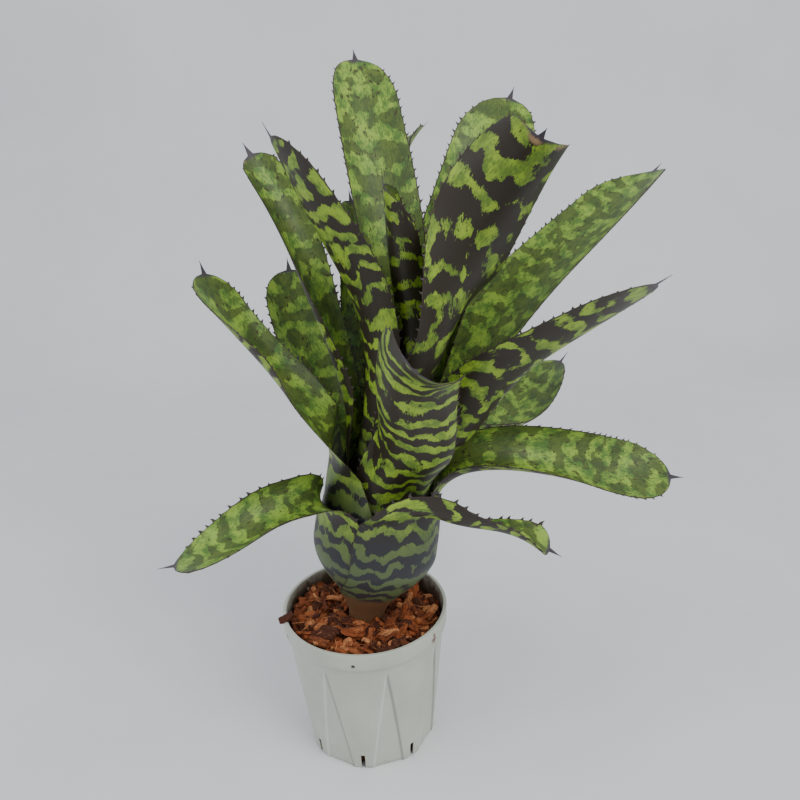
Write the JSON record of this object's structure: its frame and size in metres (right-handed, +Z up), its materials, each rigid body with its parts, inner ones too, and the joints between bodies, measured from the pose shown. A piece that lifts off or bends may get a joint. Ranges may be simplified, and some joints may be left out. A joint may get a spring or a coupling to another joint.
{
  "type": "potted bromeliad",
  "caption": "Potted bromeliad: a leaning urn of channelled strap leaves in a round tapered nursery pot with slits at its foot, filled with bark chips. For standing on a shelf or floor.",
  "frame": {"origin": "centre of the pot's flat underside", "axes": "+Z up along the pot's axis; +X to the right, the way the plant leans; -Y towards the viewer of the pictured side"},
  "size_m": [0.3449, 0.2804, 0.4877],
  "materials": {
    "pot_plastic": "satin",
    "bark": "rough",
    "bark_chip": "rough",
    "stem": "rough",
    "leaf": "satin"
  },
  "bodies": {
    "root": {"pot": "pot_plastic", "bark_bed": "bark", "bark_chip_00": "bark_chip", "bark_chip_01": "bark_chip", "bark_chip_02": "bark_chip", "bark_chip_03": "bark_chip", "bark_chip_04": "bark_chip", "bark_chip_05": "bark_chip", "bark_chip_06": "bark_chip", "bark_chip_07": "bark_chip", "bark_chip_08": "bark_chip", "bark_chip_09": "bark_chip", "bark_chip_10": "bark_chip", "bark_chip_11": "bark_chip", "bark_chip_12": "bark_chip", "bark_chip_13": "bark_chip", "bark_chip_14": "bark_chip", "bark_chip_15": "bark_chip", "bark_chip_16": "bark_chip", "bark_chip_17": "bark_chip", "bark_chip_18": "bark_chip", "bark_chip_19": "bark_chip", "bark_chip_20": "bark_chip", "bark_chip_21": "bark_chip", "stem": "stem", "leaf_low_left": "leaf", "leaf_low_right": "leaf", "leaf_flat_right": "leaf", "leaf_short_right": "leaf", "leaf_short_back": "leaf", "leaf_left": "leaf", "leaf_front": "leaf", "leaf_right_front": "leaf", "leaf_hidden_back": "leaf", "leaf_tall_left": "leaf", "leaf_long_right": "leaf", "leaf_back": "leaf", "leaf_front_left": "leaf", "leaf_tall_right": "leaf", "leaf_broad_front": "leaf", "leaf_tallest": "leaf", "leaf_heart": "leaf"}
  },
  "joints": []
}
